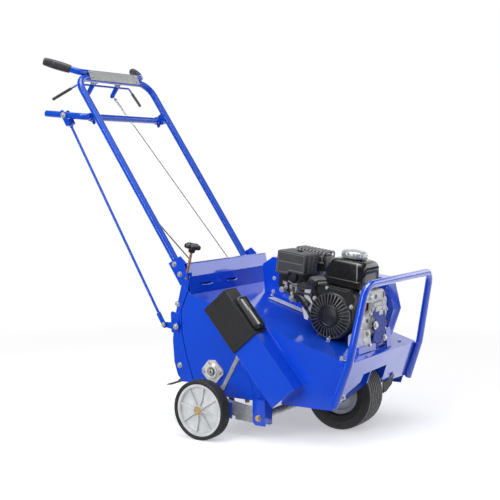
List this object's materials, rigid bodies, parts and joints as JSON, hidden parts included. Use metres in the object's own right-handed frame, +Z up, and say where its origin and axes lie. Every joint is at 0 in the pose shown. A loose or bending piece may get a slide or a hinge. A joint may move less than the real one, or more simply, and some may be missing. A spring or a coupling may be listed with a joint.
{
  "type": "walk-behind lawn aerator",
  "caption": "Walk-behind aerator with a coring reel under a sloping steel deck, three wheels, a small petrol engine, a front bumper and a tall tubular handle.",
  "frame": {"origin": "centre of the footprint, on the ground", "axes": "+Z up, the machine's front faces -Y and its operator stands at +Y, +X is its left side"},
  "size_m": [0.842, 1.3796, 1.3405],
  "materials": {
    "blue_paint": "gloss blue paint",
    "black_plastic": "black plastic and black painted sheet",
    "black_rubber": "black rubber",
    "tyre_rubber": "black tyre rubber",
    "grey_rim": "light grey plastic",
    "cast_aluminium": "cast aluminium",
    "zinc_steel": "zinc-plated steel",
    "dark_steel": "dark steel",
    "grey_plate": "dull grey steel plate",
    "yellow_zinc": "yellow-zinc screw",
    "bright_cap": "bright plated cap",
    "red_plastic": "red plastic"
  },
  "bodies": {
    "chassis": {"side_plate_right": "blue_paint", "side_plate_left": "blue_paint", "deck_panel": "blue_paint", "front_plate": "blue_paint", "hood_panel": "blue_paint", "rear_hood": "blue_paint", "front_bumper": "blue_paint", "handle_frame": "blue_paint", "handle_bracket_right": "blue_paint", "handle_bracket_left": "blue_paint", "chain_guard": "blue_paint", "belt_guard": "blue_paint", "document_box": "black_plastic", "fan_housing": "black_plastic", "fuel_tank": "black_plastic", "air_cleaner": "black_plastic", "muffler": "black_plastic", "control_cable": "black_plastic", "grip_right": "black_rubber", "grip_left": "black_rubber", "drive_belt": "black_rubber", "engine_block": "cast_aluminium", "reel_bearing_right": "cast_aluminium", "reel_bearing_left": "cast_aluminium", "front_axle": "zinc_steel", "side_strap": "zinc_steel", "drive_chain": "dark_steel", "reel_chain": "dark_steel", "carburettor": "dark_steel", "handle_plate": "grey_plate"},
    "front_wheel": {"front_tyre": "tyre_rubber", "front_rim": "cast_aluminium"},
    "carriage": {"wheel_carriage": "zinc_steel"},
    "rear_wheel_right": {"rear_tyre_right": "tyre_rubber", "rear_rim_right": "grey_rim"},
    "rear_wheel_left": {"rear_tyre_left": "tyre_rubber", "rear_rim_left": "grey_rim"},
    "reel": {"tine_shaft": "dark_steel", "tine_star_1": "dark_steel", "tine_star_2": "dark_steel", "tine_star_3": "dark_steel", "tine_star_4": "dark_steel"},
    "jackshaft_body": {"jackshaft": "dark_steel"},
    "countershaft_body": {"countershaft": "dark_steel"},
    "crankshaft": {"engine_pulley": "dark_steel"},
    "idler": {"idler_arm": "dark_steel"},
    "lid": {"document_lid": "black_plastic"},
    "lever": {"lift_lever": "blue_paint"},
    "rod": {"lift_rod": "blue_paint"},
    "crank": {"lift_crank": "blue_paint"},
    "bail": {"control_bail": "black_plastic"},
    "cable": {"clutch_cable": "zinc_steel"},
    "screw": {"depth_screw": "yellow_zinc"},
    "knob": {"depth_knob": "black_plastic"},
    "cap": {"fuel_cap": "bright_cap"},
    "switch": {"engine_switch": "red_plastic"},
    "starter": {"starter_grip": "black_plastic"},
    "throttle": {"throttle_lever": "dark_steel"},
    "choke": {"choke_lever": "dark_steel"}
  },
  "joints": [
    {"name": "front_wheel_turn", "type": "hinge", "parent": "chassis", "child": "front_wheel", "pos_m": [0, -0.4641, 0.127], "axis": [1, 0, 0], "continuous": true},
    {"name": "carriage_swing", "type": "hinge", "parent": "chassis", "child": "carriage", "pos_m": [0, -0.3031, 0.078], "axis": [1, 0, 0], "range_deg": [0, 33.33]},
    {"name": "rear_wheel_right_turn", "type": "hinge", "parent": "carriage", "child": "rear_wheel_right", "pos_m": [-0.389, -0.1291, 0.1016], "axis": [1, 0, 0], "continuous": true},
    {"name": "rear_wheel_left_turn", "type": "hinge", "parent": "carriage", "child": "rear_wheel_left", "pos_m": [0.389, -0.1291, 0.1016], "axis": [1, 0, 0], "continuous": true},
    {"name": "reel_turn", "type": "hinge", "parent": "chassis", "child": "reel", "pos_m": [0, -0.0911, 0.207], "axis": [1, 0, 0], "continuous": true},
    {"name": "countershaft_turn", "type": "hinge", "parent": "chassis", "child": "countershaft_body", "pos_m": [0, -0.3711, 0.199], "axis": [1, 0, 0], "continuous": true},
    {"name": "jackshaft_turn", "type": "hinge", "parent": "chassis", "child": "jackshaft_body", "pos_m": [0, -0.2141, 0.384], "axis": [1, 0, 0], "continuous": true},
    {"name": "crankshaft_turn", "type": "hinge", "parent": "chassis", "child": "crankshaft", "pos_m": [0, -0.4751, 0.41], "axis": [1, 0, 0], "continuous": true},
    {"name": "idler_swing", "type": "hinge", "parent": "chassis", "child": "idler", "pos_m": [0, -0.2601, 0.523], "axis": [1, 0, 0], "range_deg": [0, 20], "stiffness_Nm_per_rad": 0.6, "springref_deg": -14.32},
    {"name": "lid_open", "type": "hinge", "parent": "chassis", "child": "lid", "pos_m": [-0.2993, -0.22006, 0.49435], "axis": [-1, 0, 0], "range_deg": [0, 100]},
    {"name": "lever_swing", "type": "hinge", "parent": "chassis", "child": "lever", "pos_m": [0, 0.4932, 1.109], "axis": [-1, 0, 0], "range_deg": [0, 25]},
    {"name": "rod_swing", "type": "hinge", "parent": "lever", "child": "rod", "pos_m": [-0.25, 0.5849, 1.1175], "axis": [1, 0, 0], "range_deg": [0, 24.6]},
    {"name": "crank_swing", "type": "hinge", "parent": "chassis", "child": "crank", "pos_m": [-0.2745, 0.0614, 0.354], "axis": [-1, 0, 0], "range_deg": [0, 45.2]},
    {"name": "bail_swing", "type": "hinge", "parent": "chassis", "child": "bail", "pos_m": [0, 0.5979, 1.256], "axis": [1, 0, 0], "range_deg": [0, 35], "stiffness_Nm_per_rad": 1.2, "springref_deg": -11.46},
    {"name": "cable_slide", "type": "slide", "parent": "chassis", "child": "cable", "axis": [0.0246, 0.6679, 0.7438], "range_m": [0, 0.0352]},
    {"name": "screw_slide", "type": "slide", "parent": "chassis", "child": "screw", "axis": [0, 0.2562, -0.9666], "range_m": [0, 0.0076]},
    {"name": "knob_turn", "type": "hinge", "parent": "screw", "child": "knob", "pos_m": [-0.277, -0.0181, 0.641], "axis": [0, 0.2562, -0.9666], "range_deg": [0, 1080]},
    {"name": "cap_turn", "type": "hinge", "parent": "chassis", "child": "cap", "pos_m": [-0.022, -0.51652, 0.60412], "axis": [0, -0.1392, 0.9903], "range_deg": [0, 90]},
    {"name": "switch_turn", "type": "hinge", "parent": "chassis", "child": "switch", "pos_m": [-0.062, -0.57049, 0.44204], "axis": [0, -0.9903, -0.1392], "range_deg": [0, 60]},
    {"name": "starter_pull", "type": "slide", "parent": "chassis", "child": "starter", "axis": [0, 0.3245, 0.9459], "range_m": [0, 0.05], "stiffness_N_per_m": 60},
    {"name": "throttle_swing", "type": "hinge", "parent": "chassis", "child": "throttle", "pos_m": [-0.1193, -0.39957, 0.47616], "axis": [1, 0, 0], "range_deg": [0, 20]},
    {"name": "choke_swing", "type": "hinge", "parent": "chassis", "child": "choke", "pos_m": [-0.0925, -0.31709, 0.4928], "axis": [1, 0, 0], "range_deg": [0, 45]}
  ],
  "couplings": [
    {"joint": "countershaft_turn", "follows": "reel_turn", "ratio": 1.9643},
    {"joint": "jackshaft_turn", "follows": "reel_turn", "ratio": 2.8061},
    {"joint": "crankshaft_turn", "follows": "reel_turn", "ratio": 6.19},
    {"joint": "carriage_swing", "follows": "lever_swing", "ratio": 1.3333},
    {"joint": "rod_swing", "follows": "lever_swing", "ratio": 0.9806},
    {"joint": "crank_swing", "follows": "lever_swing", "ratio": 1.8025},
    {"joint": "idler_swing", "follows": "bail_swing", "ratio": 0.5714},
    {"joint": "cable_slide", "follows": "bail_swing", "m_per_rad": 0.0568},
    {"joint": "screw_slide", "follows": "knob_turn", "m_per_rad": 0.0003979}
  ]
}
